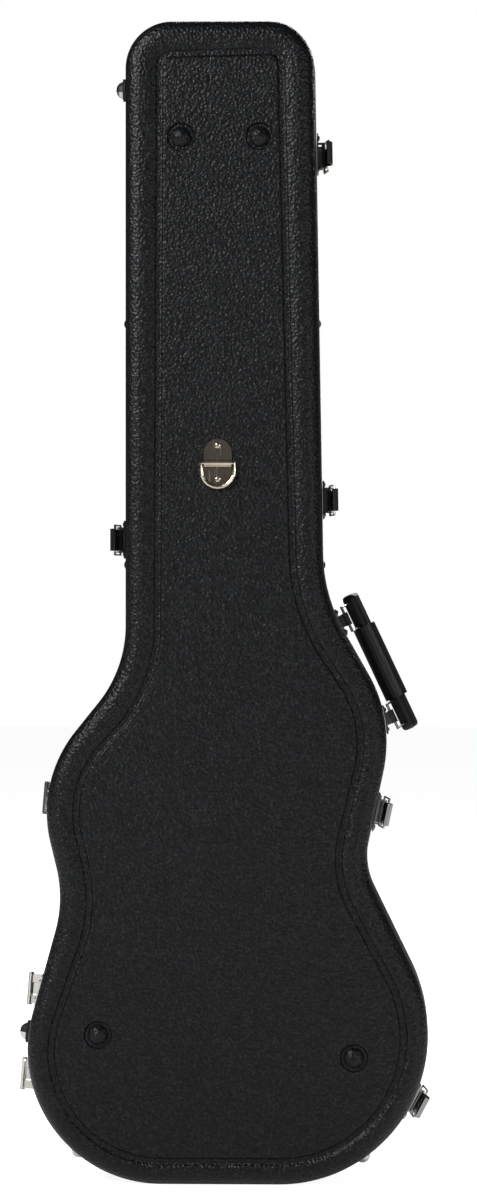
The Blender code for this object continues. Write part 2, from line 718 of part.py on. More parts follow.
# Handle: a core in a padded sleeve, hung on two wire loops in riveted eyes
high_wall = wall_at(HANDLE_HIGH_Z, 1)[0]
low_wall = wall_at(HANDLE_LOW_Z, 1)[0]
chord = high_wall - low_wall
loop_centre = chord.length / 2
handle_out = DEPTH_AXIS.cross(chord.normalized())
handle_root = (high_wall + low_wall) / 2 + handle_out * HANDLE_STANDOFF
handle_root.y = PART_Y - HANDLE_H
handle_axis = frame_at(handle_root, handle_out)
grip_frame = handle_axis @ Matrix.Rotation(HANDLE_FOLD, 4, "Z")
handle_pivot = pivot("handle_axis", handle_axis)
grip = box("handle_grip", (HANDLE_REACH - CORE_RADIAL / 2, -CORE_THICK / 2, -HANDLE_TIP),
           (HANDLE_REACH + CORE_RADIAL / 2, CORE_THICK / 2, HANDLE_TIP), VINYL, grip_frame,
           bevel=0.0035, segments=2)
oval = [(HANDLE_REACH + SLEEVE_RADIAL / 2 * math.cos(math.tau * k / 20),
         SLEEVE_THICK / 2 * math.sin(math.tau * k / 20)) for k in range(20)]
cut(grip, prism("sleeve", oval, -SLEEVE_HALF, SLEEVE_HALF, VINYL, grip_frame), "UNION")
EYE_PLATE = 0.0024
HANDLE_RIVET_OUT = 0.0090
for which, hand, wall_z in [("upper", 1, HANDLE_HIGH_Z), ("lower", -1, HANDLE_LOW_Z)]:
    centre = hand * loop_centre
    ring = [(0, 0, centre - HANDLE_LOOP_HALF), (HANDLE_REACH, 0, centre - HANDLE_LOOP_HALF),
            (HANDLE_REACH, 0, centre + HANDLE_LOOP_HALF), (0, 0, centre + HANDLE_LOOP_HALF)]
    loop = wire(f"handle_{which}_loop", ring, HANDLE_WIRE_R, NICKEL, grip_frame, True)
    slot = wire(f"slot_{which}", ring, HANDLE_WIRE_R + FIT, NICKEL, grip_frame, True)
    cut(grip, solid_from_curve(slot))
    carried_by(loop, handle_pivot)
    bracket = band(f"handle_{which}_bracket", wall_strip(wall_z, 1, BRACKET_HALF, 4), [
        (-FIT - BRACKET_SHEET, HANDLE_H - BRACKET_HALF_WIDTH),
        (-FIT - BRACKET_SHEET, HANDLE_H + BRACKET_HALF_WIDTH),
        (-FIT, HANDLE_H + BRACKET_HALF_WIDTH),
        (-FIT, HANDLE_H - BRACKET_HALF_WIDTH)], BASE, DARK_CHROME, False)
    eye_axis = handle_axis @ Matrix.Translation((0, 0, centre))
    bore = HANDLE_WIRE_R + FIT
    cut(bracket, web(f"eye_web_{which}", eye_axis, 1, -bore - EYE_WALL / 2,
                     -EYE_LENGTH / 2 + FIT, EYE_LENGTH / 2 - FIT, (-EYE_PLATE, EYE_PLATE),
                     FIT + BRACKET_SHEET / 2, DARK_CHROME), "UNION")
    cut(bracket, turned(f"eye_{which}", tube_profile(bore + EYE_WALL, bore, -EYE_LENGTH / 2,
                                                     EYE_LENGTH / 2), DARK_CHROME, eye_axis,
                        12, closed=True), "UNION")
    for along in (-HANDLE_RIVET_OUT, HANDLE_RIVET_OUT):
        frame = wall_frame(wall_z + along, 1, HANDLE_H)
        cut(bracket, stud(f"bracket_rivet_{which}_{along:+.3f}", frame,
                          (FIT + BRACKET_SHEET, 0, 0), SMALL_RIVET_R, RIVET_PROUD, NICKEL,
                          -BRACKET_SHEET / 2), "UNION")
carried_by(grip, handle_pivot)

# Strap ring: a two-lobed plate arched over the bar of a wire ring
strap = back_frame(STRAP_X, STRAP_BAR_Z)
lobes = []
for start, y in [(0, STRAP_PLATE_UP), (math.pi, -STRAP_PLATE_DOWN)]:
    for k in range(9):
        angle = start + math.pi * k / 8
        lobes.append((STRAP_PLATE_R * math.cos(angle), y + STRAP_PLATE_R * math.sin(angle)))
strap_plate = prism("strap_plate", lobes, FIT, FIT + STRAP_SHEET, WARM_NICKEL, strap)
across = Matrix(((0, 0, 1, 0), (1, 0, 0, 0), (0, 1, 0, 0), (0, 0, 0, 1)))


def arch(name, radius, foot, half):
    outline = [(radius, foot)]
    for k in range(7):
        angle = math.pi * k / 6
        outline.append((radius * math.cos(angle), STRAP_WIRE_LIFT + radius * math.sin(angle)))
    return prism(name, outline + [(-radius, foot)], -half, half, WARM_NICKEL, strap @ across)


bore = STRAP_WIRE_R + FIT
cut(strap_plate, arch("ridge", bore + STRAP_SHEET, FIT + STRAP_SHEET / 2,
                      STRAP_PLATE_R - FIT), "UNION")
cut(strap_plate, arch("bore", bore, -OVERCUT, 2 * STRAP_PLATE_R))
ring_half = STRAP_PLATE_R + STRAP_WIRE_R + 2 * FIT
ring = [(-ring_half, 0, 0), (ring_half, 0, 0)]
for k in range(11):
    angle = -math.pi * k / 10
    ring.append((ring_half * math.cos(angle), -STRAP_PLATE_DOWN + ring_half * math.sin(angle), 0))
ring_frame = back_frame(STRAP_X, STRAP_BAR_Z, STRAP_WIRE_LIFT)
strap_ring = wire("strap_ring", ring, STRAP_WIRE_R, WARM_NICKEL, ring_frame, True)
strap_pivot = pivot("strap_ring_axis", ring_frame)
carried_by(strap_ring, strap_pivot)
for number, z in enumerate((STRAP_BAR_Z + STRAP_RIVET_UP, STRAP_BAR_Z - STRAP_RIVET_DOWN)):
    cut(strap_plate, turned(f"strap_rivet_{number}",
                            dome_profile(STRAP_RIVET_R, RIVET_PROUD, -STRAP_SHEET / 2),
                            WARM_NICKEL, back_frame(STRAP_X, z, FIT + STRAP_SHEET), 12), "UNION")

# Glides on the spine, end feet and the rivets of the inner supports
END_FOOT_LIFT = 0.0
STUDS = [("glide_upper", -1, GLIDES_Z[0], GLIDE_BOSS_R, GLIDE_BOSS_PROUD, GLIDE_R,
          GLIDE_PROUD - GLIDE_BOSS_PROUD, FIT),
         ("glide_lower", -1, GLIDES_Z[1], GLIDE_BOSS_R, GLIDE_BOSS_PROUD, GLIDE_R,
          GLIDE_PROUD - GLIDE_BOSS_PROUD, FIT)]
for name, (side, z) in zip(("end_foot_spine", "end_foot_handle"), END_FEET):
    STUDS.append((name, side, z, END_FOOT_R + 2 * DRAFT, END_FOOT_WASHER, END_FOOT_R,
                  END_FOOT_PROUD, END_FOOT_LIFT))
for name, side, z, boss_r, boss_proud, radius, proud, lift in STUDS:
    frame = wall_frame(z, side, STUD_H)
    turned(name + "_boss", [(0, boss_proud), (boss_r, boss_proud), (boss_r, 0), (0, 0)], RUBBER,
           frame @ Matrix.Translation((lift, 0, 0)) @ OUT_OF_WALL, 16)
    stud(name, frame, (lift + boss_proud + FIT, 0, 0), radius, proud, NICKEL, rings=3, steps=16)
for place_name, z in zip(("cradle", "box"), SUPPORT_RIVETS_Z):
    for side_name, side in (("spine", -1), ("handle", 1)):
        stud(f"{place_name}_rivet_{side_name}", wall_frame(z, side, STUD_H), (FIT, 0, 0),
             SUPPORT_RIVET_R, RIVET_PROUD, SHELL_ABS)

# Foam insert, cut out for body, neck, headstock and accessory box
foam_edge = rim_inner + FOAM_CLEAR + STAND_CUT
roll_inner = ROLL - WALL - FOAM_CLEAR
foam_bottom = BASE_DEPTH - WALL - GROOVE_DEPTH - FOAM_CLEAR
roll_h = BASE_DEPTH - ROLL
lean_in = math.asin((foam_bottom - roll_h) / roll_inner)
foam_rows = [(foam_edge, FOAM_TOP_H), (foam_edge, roll_h),
             (DRAFT + ROLL - roll_inner * math.cos(lean_in), foam_bottom)]
foam_insert = closed_loft("foam_insert", [
    [place(s, d, h, BASE) for s in STATIONS] for d, h in foam_rows], PLUSH)
floor_h = foam_bottom - FOAM_FLOOR
cavity = [s for s in STATIONS if place(s, FOAM_RIM, 0, BASE).z < BODY_TOP_Z]
split = max(range(len(cavity)), key=lambda i: (
    Vector(cavity[i][:2]) - Vector(cavity[i - 1][:2])).length)
cavity = cavity[split:] + cavity[:split]
body_cutter = closed_loft("body_cavity", [
    [place(s, FOAM_RIM, h, BASE) for s in cavity] for h in (FOAM_TOP_H - OVERCUT, floor_h)],
    PLUSH)
cut(foam_insert, body_cutter)


def bay(name, low_x, high_x, low_z, high_z, bottom):
    top = PART_Y - FOAM_TOP_H + OVERCUT
    return box(name, (low_x, PART_Y - bottom, low_z), (high_x, top, high_z), PLUSH)


BAY_OVERLAP = 0.0150
left_edge = wall_at(BOX_HIGH_Z, -1)[0].x
right_edge = wall_at(BOX_HIGH_Z, 1)[0].x
neck_bottom = FOAM_TOP_H + NECK_DEPTH
bay_low, bay_high = left_edge + BOX_SIDE_MARGIN, right_edge - BOX_SIDE_MARGIN
cut(foam_insert, bay("neck_bay", NECK_X - NECK_HALF, NECK_X + NECK_HALF,
                     BODY_TOP_Z - BAY_OVERLAP, HEAD_LOW_Z + BAY_OVERLAP, neck_bottom))
cut(foam_insert, bay("head_bay", left_edge + HEAD_SIDE_MARGIN, right_edge - HEAD_SIDE_MARGIN,
                     HEAD_LOW_Z, LENGTH - HEAD_MARGIN, neck_bottom + FOAM_TOP_H))
cut(foam_insert, bay("box_bay", bay_low, bay_high, BOX_LOW_Z, BOX_HIGH_Z, floor_h))
cut(foam_insert, bay("cradle_bay", bay_low, bay_high, CRADLE_LOW_Z,
                     CRADLE_LOW_Z + CRADLE_LENGTH, neck_bottom + 2 * FOAM_TOP_H))

# Accessory box with a hinged lid, neck cradle and the padding of the lid
box_low = (bay_low + FIT, PART_Y - floor_h + FIT, BOX_LOW_Z + FIT)
box_high = (bay_high - FIT, PART_Y - BOX_LID_H - BOX_LID_THICK - FIT, BOX_HIGH_Z - FIT)
accessory_box = box("accessory_box", box_low, box_high, BOARD)
inside_low = [v + BOX_WALL for v in box_low]
inside_high = [box_high[0] - BOX_WALL, box_high[1] + OVERCUT, box_high[2] - BOX_WALL]
cut(accessory_box, box("box_inside", inside_low, inside_high, BOARD))
box_lid_low = (box_low[0] + BOX_LID_GAP, box_high[1] + FIT, box_low[2] + BOX_LID_GAP)
box_lid_high = (box_high[0] - BOX_LID_GAP, box_high[1] + FIT + BOX_LID_THICK,
                box_high[2] - BOX_LID_GAP - 2 * BOX_LID_THICK)
accessory_lid = box("accessory_lid", box_lid_low, box_lid_high, BOARD, bevel=0.001)
lid_mid_x = (box_lid_low[0] + box_lid_high[0]) / 2
tab_y = box_lid_high[1] + FIT
accessory_pull_tab = box("accessory_pull_tab",
                         (lid_mid_x - PULL_TAB_WIDTH / 2, tab_y, box_lid_low[2] + 2 * BOX_LID_GAP),
                         (lid_mid_x + PULL_TAB_WIDTH / 2, tab_y + FIT * 3,
                          box_lid_low[2] + PULL_TAB_LENGTH), RIBBON)
box_axis_point = (lid_mid_x, box_lid_high[1] - BOX_LID_THICK / 2,
                  box_lid_high[2] + BOX_PIN_R + 2 * FIT)
accessory_pin = turned("accessory_pin", [
    (0, (bay_high - bay_low) / 2 - BOX_WALL), (BOX_PIN_R, (bay_high - bay_low) / 2 - BOX_WALL),
    (BOX_PIN_R, -(bay_high - bay_low) / 2 + BOX_WALL), (0, -(bay_high - bay_low) / 2 + BOX_WALL)],
    NICKEL, Matrix.Translation(box_axis_point) @ OUT_OF_WALL, 10)
box_pivot = pivot("accessory_lid_axis", Matrix.Translation(box_axis_point))
for piece in (accessory_lid, accessory_pull_tab):
    carried_by(piece, box_pivot)
neck_cradle = box("neck_cradle",
                  (bay_low + FIT, PART_Y - neck_bottom - 2 * FOAM_TOP_H + FIT,
                   CRADLE_LOW_Z + FIT),
                  (bay_high - FIT, PART_Y - CRADLE_TOP_H, CRADLE_LOW_Z + CRADLE_LENGTH - FIT),
                  PLUSH)
cut(neck_cradle, box("cradle_notch",
                     (NECK_X - CRADLE_NOTCH_HALF, PART_Y - CRADLE_TOP_H - CRADLE_NOTCH_DEPTH,
                      CRADLE_LOW_Z - OVERCUT),
                     (NECK_X + CRADLE_NOTCH_HALF, PART_Y, CRADLE_LOW_Z + CRADLE_LENGTH + OVERCUT),
                     PLUSH))
pad_top = LID_DEPTH - WALL - GROOVE_DEPTH - FOAM_CLEAR
pad_roll = LID_DEPTH - ROLL
pad_lean = math.asin((pad_top - pad_roll) / roll_inner)
lid_padding = closed_loft("lid_padding", [
    [place(s, d, h, LID) for s in STATIONS] for d, h in [
        (foam_edge, pad_top - PAD_THICK), (foam_edge, pad_roll),
        (DRAFT + ROLL - roll_inner * math.cos(pad_lean), pad_top)]], PLUSH)
lid_side.append(lid_padding)
for piece in lid_side:
    carried_by(piece, lid_pivot)
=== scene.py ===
import json
import math

import bmesh
import bpy
from mathutils import Matrix, Vector


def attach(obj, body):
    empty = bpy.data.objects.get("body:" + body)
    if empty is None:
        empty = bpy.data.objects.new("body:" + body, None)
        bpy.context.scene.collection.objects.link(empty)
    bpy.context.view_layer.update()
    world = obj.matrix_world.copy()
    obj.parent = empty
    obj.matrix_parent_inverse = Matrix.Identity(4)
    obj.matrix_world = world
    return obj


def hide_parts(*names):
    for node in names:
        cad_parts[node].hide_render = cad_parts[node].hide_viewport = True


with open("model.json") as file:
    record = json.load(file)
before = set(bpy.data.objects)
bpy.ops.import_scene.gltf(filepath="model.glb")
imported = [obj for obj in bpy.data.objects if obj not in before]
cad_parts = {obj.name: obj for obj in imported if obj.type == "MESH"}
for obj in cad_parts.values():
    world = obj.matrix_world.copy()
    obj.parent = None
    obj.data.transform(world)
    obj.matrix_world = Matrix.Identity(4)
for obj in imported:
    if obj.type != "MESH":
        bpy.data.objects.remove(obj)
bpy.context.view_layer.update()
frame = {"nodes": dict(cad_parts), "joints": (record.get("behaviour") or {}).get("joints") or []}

NODES = frame["nodes"]

# Shells
# Vacuum-formed black ABS halves with a pebbled skin. The sheet is pulled over a mould that
# rolls the edge and presses a groove round the plain field; the edge is joggled for the rim.
# OUTLINE rows are corner x and z, corner radius and how far in the groove lies there.
OUTLINE = [
    (0.0853, 1.0700, 0.0420, 0.031), (-0.0894, 1.0700, 0.0440, 0.033),
    (-0.0894, 0.4740, 0.1130, 0.031), (-0.1726, 0.3704, 0.1200, 0.029),
    (-0.1462, 0.2613, 0.1150, 0.029), (-0.2189, -0.0012, 0.1240, 0.024),
    (0.2740, -0.0012, 0.1380, 0.024), (0.1311, 0.2905, 0.0700, 0.027),
    (0.1597, 0.4257, 0.1250, 0.025), (0.0940, 0.5410, 0.1500, 0.028)]
PART_Y, BASE_DEPTH, LID_DEPTH, WALL = 0.0150, 0.0660, 0.0420, 0.0030
DRAFT, ROLL, FIT = 0.0010, 0.0140, 0.0003
GROOVE_STEPS, FIELD_RINGS = 12, (0.0004, 0.0012)
GROOVE_HALF, GROOVE_FLOOR_HALF, GROOVE_DEPTH = 0.0045, 0.0018, 0.0024
RIM_SHEET, RIM_PROUD, RIM_LEG = 0.0011, 0.0005, 0.0075
WELD = 0.0008
TONGUE_HEIGHT = 0.0016


def stations_of(step):
    """Points round the case outline as x, z, outward normal x and z, groove inset."""
    stations = []
    for index, (x, z, radius, inset) in enumerate(OUTLINE):
        before, after = OUTLINE[index - 1], OUTLINE[(index + 1) % len(OUTLINE)]
        into = Vector((x - before[0], z - before[1])).normalized()
        out = Vector((after[0] - x, after[1] - z)).normalized()
        turn = math.atan2(into.x * out.y - into.y * out.x, into.dot(out))
        hand = math.copysign(1, turn)
        reach = radius * math.tan(abs(turn) / 2)
        centre = Vector((x, z)) - into * reach + Vector((-into.y, into.x)) * radius * hand
        first = math.atan2(-into.x * hand, into.y * hand)
        count = max(2, math.ceil(abs(turn) / step))
        for k in range(count + 1):
            angle = first + turn * k / count
            nx, nz = math.cos(angle), math.sin(angle)
            stations.append((centre.x + nx * radius, centre.y + nz * radius,
                             nx * hand, nz * hand, inset))
    return stations


STATIONS = stations_of(math.radians(2.5))


def place(s, inset, h, side):
    """A point at height h off the parting plane, inset from station s along its normal."""
    lift = max(0, -s[1] - s[3] * RIM_PROUD) if h <= RIM_LEG + FIT else 0
    return Vector((s[0] - s[2] * inset, PART_Y + side * h, max(s[1] - s[3] * inset + lift, 0)))


# Finishes: each is built from noise on object coordinates, so it needs no picture file
class Surface:
    """A Principled material with a few chained procedural layers."""

    def __init__(self, name, colour, metallic, roughness):
        self.material = bpy.data.materials.new(name)
        self.material.use_nodes = True
        self.tree = self.material.node_tree
        self.shader = self.tree.nodes["Principled BSDF"]
        self.shader.inputs["Base Color"].default_value = (*colour, 1)
        self.shader.inputs["Metallic"].default_value = metallic
        self.shader.inputs["Roughness"].default_value = roughness
        self.colour = colour
        self.place = self.tree.nodes.new("ShaderNodeTexCoord").outputs["Object"]
        self.bump = None

    def noise(self, scale, detail=4.0, stretch=None):
        source = self.place
        if stretch:
            mapping = self.tree.nodes.new("ShaderNodeMapping")
            mapping.inputs["Scale"].default_value = stretch[0]
            mapping.inputs["Rotation"].default_value = stretch[1]
            self.tree.links.new(source, mapping.inputs["Vector"])
            source = mapping.outputs["Vector"]
        node = self.tree.nodes.new("ShaderNodeTexNoise")
        node.inputs["Scale"].default_value = scale
        node.inputs["Detail"].default_value = detail
        self.tree.links.new(source, node.inputs["Vector"])
        return node.outputs["Fac"]

    def cells(self, scale):
        node = self.tree.nodes.new("ShaderNodeTexVoronoi")
        node.inputs["Scale"].default_value = scale
        self.tree.links.new(self.place, node.inputs["Vector"])
        return node.outputs["Distance"]

    def ramp(self, value, low, high, start, end):
        node = self.tree.nodes.new("ShaderNodeMapRange")
        for socket, number in zip(("From Min", "From Max", "To Min", "To Max"),
                                  (low, high, start, end)):
            node.inputs[socket].default_value = number
        self.tree.links.new(value, node.inputs["Value"])
        return node.outputs["Result"]

    def relief(self, value, distance, strength=1.0):
        node = self.tree.nodes.new("ShaderNodeBump")
        node.inputs["Distance"].default_value = distance
        node.inputs["Strength"].default_value = strength
        self.tree.links.new(value, node.inputs["Height"])
        if self.bump:
            self.tree.links.new(self.bump, node.inputs["Normal"])
        self.bump = node.outputs["Normal"]
        self.tree.links.new(self.bump, self.shader.inputs["Normal"])

    def roughness(self, value):
        self.tree.links.new(value, self.shader.inputs["Roughness"])

    def tint(self, value, other):
        node = self.tree.nodes.new("ShaderNodeMix")
        node.data_type = "RGBA"
        node.inputs["A"].default_value = (*self.colour, 1)
        node.inputs["B"].default_value = (*other, 1)
        self.tree.links.new(value, node.inputs["Factor"])
        self.tree.links.new(node.outputs["Result"], self.shader.inputs["Base Color"])


def scratched(surface, rough, marks=0.35):
    """Handling marks: fine stretched lines that only change the shine."""
    lines = surface.noise(30, 2, ((22, 22, 1), (0.08, 0.12, 0.2)))
    surface.roughness(surface.ramp(lines, 0.62, 0.72, rough, rough + marks * 0.4))
    return surface


abs_skin = scratched(Surface("abs_skin", (0.0016, 0.0019, 0.0025), 0.0, 0.42), 0.38, 0.25)
abs_skin.shader.inputs["Specular IOR Level"].default_value = 0.30
abs_skin.relief(abs_skin.cells(360), 0.00065, 0.95)
abs_skin.relief(abs_skin.noise(520, 3), 0.00060, 0.9)
# Painted highlight: the same noise that raises the pebble grain lightens its peaks, standing in
# for glints off the grain.
abs_skin.tint(abs_skin.ramp(abs_skin.noise(520, 3), 0.50, 0.72, 0, 1), (0.0170, 0.0185, 0.0225))


def shell(name, node, depth, edge, side, body):
    rows = [(RIM_SHEET - RIM_PROUD + FIT, edge), (RIM_SHEET - RIM_PROUD + FIT, RIM_LEG + FIT),
            (0, RIM_LEG + FIT + WELD), (0, RIM_LEG + FIT + 2 * WELD)]
    steps = 14
    for k in range(steps + 1):
        a = math.pi / 2 * k / steps
        rows.append((DRAFT + ROLL * (1 - math.cos(a)), depth - ROLL + ROLL * math.sin(a)))
    rings = [[place(s, d, h, side) for s in STATIONS] for d, h in rows]
    for k in range(GROOVE_STEPS + 1):
        across = GROOVE_HALF * (2 * k / GROOVE_STEPS - 1)
        fall = min(1, (GROOVE_HALF - abs(across)) / (GROOVE_HALF - GROOVE_FLOOR_HALF))
        drop = GROOVE_DEPTH * (1 - math.cos(math.pi * fall)) / 2
        rings.append([place(s, s[4] + across, depth - drop, side) for s in STATIONS])
    for past in FIELD_RINGS:
        rings.append([place(s, s[4] + GROOVE_HALF + past, depth, side) for s in STATIONS])
    bm = bmesh.new()
    grid = [[bm.verts.new(p) for p in ring] for ring in rings]
    for one, two in zip(grid, grid[1:]):
        for i in range(len(one)):
            j = (i + 1) % len(one)
            quad = (one[i], one[j], two[j], two[i])
            bm.faces.new(quad if side < 0 else quad[::-1])
    bm.faces.new(grid[-1] if side < 0 else grid[-1][::-1])
    mesh = bpy.data.meshes.new(name)
    bm.to_mesh(mesh)
    bm.free()
    mesh.materials.append(abs_skin.material)
    mesh.shade_smooth()
    mesh.set_sharp_from_angle(angle=math.radians(50))
    mesh.polygons[-1].use_smooth = False
    piece = bpy.data.objects.new(name, mesh)
    bpy.context.scene.collection.objects.link(piece)
    wall = piece.modifiers.new("wall", "SOLIDIFY")
    wall.thickness = WALL
    wall.offset = -1
    wall.use_even_offset = True
    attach(piece, body)
    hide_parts(node)
    return piece


base_skin = shell("base_skin", "base_shell", BASE_DEPTH, FIT * 1.5 + RIM_SHEET, -1, "case_base")
shell("lid_skin", "lid_shell", LID_DEPTH, FIT * 2.5 + TONGUE_HEIGHT + RIM_SHEET, 1, "lid")


# Feet
# Moulded in the back: a shallow round recess with a low dome in it, and a soft lip of the
# sheet round it where the mould pulled the plastic in. The recess is cut by a turned tool.
FEET = [(-0.0370, 0.961), (0.0350, 0.961), (-0.1130, 0.1385), (0.1215, 0.118)]
RECESS = [(0.0138, 0.003), (0.0130, 0.0000), (0.0126, -0.0009), (0.0118, -0.0018)]
DOME_RADIUS, DOME_TOP, DOME_FALL, DOME_STEPS = 0.0103, 0.0042, 0.0096, 12
DOME_SWEEP = math.radians(66)
DOME_AXIS_GAP = 0.0001
DOME_SEAT = (0.0093, -0.0022)
ROUND_STEPS = 48


def show(bm, name, material, angle=32):
    """Links a finished mesh as a shown piece at the origin."""
    bmesh.ops.recalc_face_normals(bm, faces=bm.faces)
    mesh = bpy.data.meshes.new(name)
    bm.to_mesh(mesh)
    bm.free()
    mesh.materials.append(material)
    mesh.shade_smooth()
    mesh.set_sharp_from_angle(angle=math.radians(angle))
    piece = bpy.data.objects.new(name, mesh)
    bpy.context.scene.collection.objects.link(piece)
    return piece


def spun(name, profile, matrix):
    """A profile of radius and height turned round local z."""
    bm = bmesh.new()
    rings = [[bm.verts.new(matrix @ Vector((r * math.cos(math.tau * k / ROUND_STEPS),
                                           r * math.sin(math.tau * k / ROUND_STEPS), z)))
              for k in range(ROUND_STEPS)] for r, z in profile]
    for one, two in zip(rings, rings[1:]):
        for i in range(ROUND_STEPS):
            bm.faces.new((one[i], one[(i + 1) % ROUND_STEPS], two[(i + 1) % ROUND_STEPS], two[i]))
    bm.faces.new(rings[0])
    bm.faces.new(rings[-1])
    return show(bm, name, abs_skin.material)


for number, (x, z) in enumerate(FEET):
    at = (Matrix.Translation((x, PART_Y - BASE_DEPTH, z))
          @ Matrix.Rotation(math.pi / 2, 4, "X"))
    tool = spun(f"recess_cutter_{number}", RECESS, at)
    recess = base_skin.modifiers.new("recess", "BOOLEAN")
    recess.object = tool
    recess.solver = "EXACT"
    tool.hide_render = True
    tool.hide_viewport = True
    dome = [(DOME_AXIS_GAP, DOME_TOP)]
    for k in range(1, DOME_STEPS + 1):
        a = DOME_SWEEP * k / DOME_STEPS
        dome.append((DOME_RADIUS * math.sin(a), DOME_TOP - DOME_FALL * (1 - math.cos(a))))
    foot = spun(f"back_foot_{number}", dome + [DOME_SEAT], at)
    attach(foot, "case_base")

# Rims
# Extruded aluminium valance, bent round the outline and pressed on the edge of each shell.
# The base carries a tongue and the lid the slot that closes over it.
TONGUE_IN, TONGUE_OUT, TONGUE_PLAY = 0.0012, 0.0024, 0.0005
EDGE_BREAK = 0.00018
half = FIT / 2
inner = RIM_SHEET - RIM_PROUD + FIT + WALL
slot_top = half + TONGUE_HEIGHT + FIT
aluminium = scratched(Surface("extruded_aluminium", (0.55, 0.55, 0.56), 1.0, 0.30), 0.27)
aluminium.relief(aluminium.noise(900, 2, ((1, 1, 0.02), (0, 0, 0))), 0.00002, 0.5)


def rim(name, node, profile, side, body):
    bm = bmesh.new()
    grid = [[bm.verts.new(place(s, d, h, side)) for d, h in profile] for s in STATIONS]
    for i, here in enumerate(grid):
        there = grid[(i + 1) % len(grid)]
        for j in range(len(profile)):
            k = (j + 1) % len(profile)
            bm.faces.new((here[j], here[k], there[k], there[j]))
    piece = show(bm, name, aluminium.material)
    soft = piece.modifiers.new("edges", "BEVEL")
    soft.width = EDGE_BREAK
    soft.segments = 2
    soft.limit_method = "ANGLE"
    soft.angle_limit = math.radians(50)
    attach(piece, body)
    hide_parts(node)


rim("base_valance", "base_rim", [
    (-RIM_PROUD, RIM_LEG), (-RIM_PROUD, half), (TONGUE_IN, half), (TONGUE_IN, -TONGUE_HEIGHT),
    (TONGUE_OUT, -TONGUE_HEIGHT), (TONGUE_OUT, half), (inner, half), (inner, half + RIM_SHEET),
    (RIM_SHEET - RIM_PROUD, half + RIM_SHEET), (RIM_SHEET - RIM_PROUD, RIM_LEG)], -1, "case_base")
rim("lid_valance", "lid_rim", [
    (-RIM_PROUD, RIM_LEG), (-RIM_PROUD, half), (TONGUE_IN - TONGUE_PLAY, half),
    (TONGUE_IN - TONGUE_PLAY, slot_top), (TONGUE_OUT + TONGUE_PLAY, slot_top),
    (TONGUE_OUT + TONGUE_PLAY, half), (inner, half), (inner, slot_top + RIM_SHEET),
    (RIM_SHEET - RIM_PROUD, slot_top + RIM_SHEET), (RIM_SHEET - RIM_PROUD, RIM_LEG)], 1, "lid")

# Foam and plush
# Cut foam wrapped in short black plush. Each piece keeps the CAD form with rounded edges, and
# a slightly uneven surface where the pile is brushed different ways.
plush = Surface("black_plush", (0.011, 0.011, 0.013), 0.0, 0.95)
plush.relief(plush.noise(1100, 3), 0.0009, 0.9)
plush.relief(plush.noise(26, 3), 0.0020, 0.5)
plush.tint(plush.ramp(plush.noise(420, 3), 0.4, 0.7, 0, 1), (0.040, 0.040, 0.046))
plush.shader.inputs["Sheen Weight"].default_value = 0.6
plush.shader.inputs["Sheen Roughness"].default_value = 0.4


def soft_piece(name, node, body, radius):
    source = NODES[node]
    bm = bmesh.new()
    bm.from_mesh(source.data)
    bm.transform(source.matrix_world)
    bmesh.ops.remove_doubles(bm, verts=bm.verts, dist=0.00005)
    bmesh.ops.dissolve_limit(bm, angle_limit=math.radians(2), verts=bm.verts, edges=bm.edges)
    piece = show(bm, name, plush.material, 60)
    rounded = piece.modifiers.new("rounded", "BEVEL")
    rounded.width = radius
    rounded.segments = 3
    rounded.limit_method = "ANGLE"
    rounded.angle_limit = math.radians(40)
    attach(piece, body)
    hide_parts(node)


soft_piece("plush_insert", "foam_insert", "case_base", 0.0020)
soft_piece("plush_lid_pad", "lid_padding", "lid", 0.0030)
soft_piece("plush_cradle", "neck_cradle", "case_base", 0.0020)

# Pull tab of the accessory lid
# A short length of woven black ribbon, folded once into a loop and tacked to the flocked lid.
# Its two layers lie close together and meet in a soft fold at the lower end.
ribbon = Surface("pull_ribbon", (0.010, 0.010, 0.011), 0.0, 0.7)
weave = ribbon.tree.nodes.new("ShaderNodeTexWave")
weave.inputs["Scale"].default_value = 500
ribbon.tree.links.new(ribbon.place, weave.inputs["Vector"])
ribbon.relief(weave.outputs["Fac"], 0.0003)
RIBBON_THICK = 0.0003
FOLD_STEPS = 8
tab_node = NODES["accessory_pull_tab"]
tab_low = [min(v.co[k] for v in tab_node.data.vertices) for k in range(3)]
tab_high = [max(v.co[k] for v in tab_node.data.vertices) for k in range(3)]
layer_gap = tab_high[1] - tab_low[1] - RIBBON_THICK
fold = layer_gap / 2
fold_z = tab_low[2] + fold + RIBBON_THICK / 2
path = [(tab_low[1] + RIBBON_THICK / 2, tab_high[2])]
for step in range(FOLD_STEPS + 1):
    turned_by = math.pi * step / FOLD_STEPS
    path.append(((tab_low[1] + tab_high[1]) / 2 - fold * math.cos(turned_by),
                 fold_z - fold * math.sin(turned_by)))
path.append((tab_high[1] - RIBBON_THICK / 2, tab_high[2]))
tab_mesh = bpy.data.meshes.new("ribbon_tab")
tab_mesh.from_pydata([(x, y, z) for y, z in path for x in (tab_low[0], tab_high[0])], [],
                     [(2 * k, 2 * k + 2, 2 * k + 3, 2 * k + 1) for k in range(len(path) - 1)])
tab_mesh.materials.append(ribbon.material)
ribbon_tab = bpy.data.objects.new("ribbon_tab", tab_mesh)
bpy.context.scene.collection.objects.link(ribbon_tab)
woven = ribbon_tab.modifiers.new("thickness", "SOLIDIFY")
woven.thickness = RIBBON_THICK
woven.offset = 0
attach(ribbon_tab, "accessory_lid")
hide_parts("accessory_pull_tab")

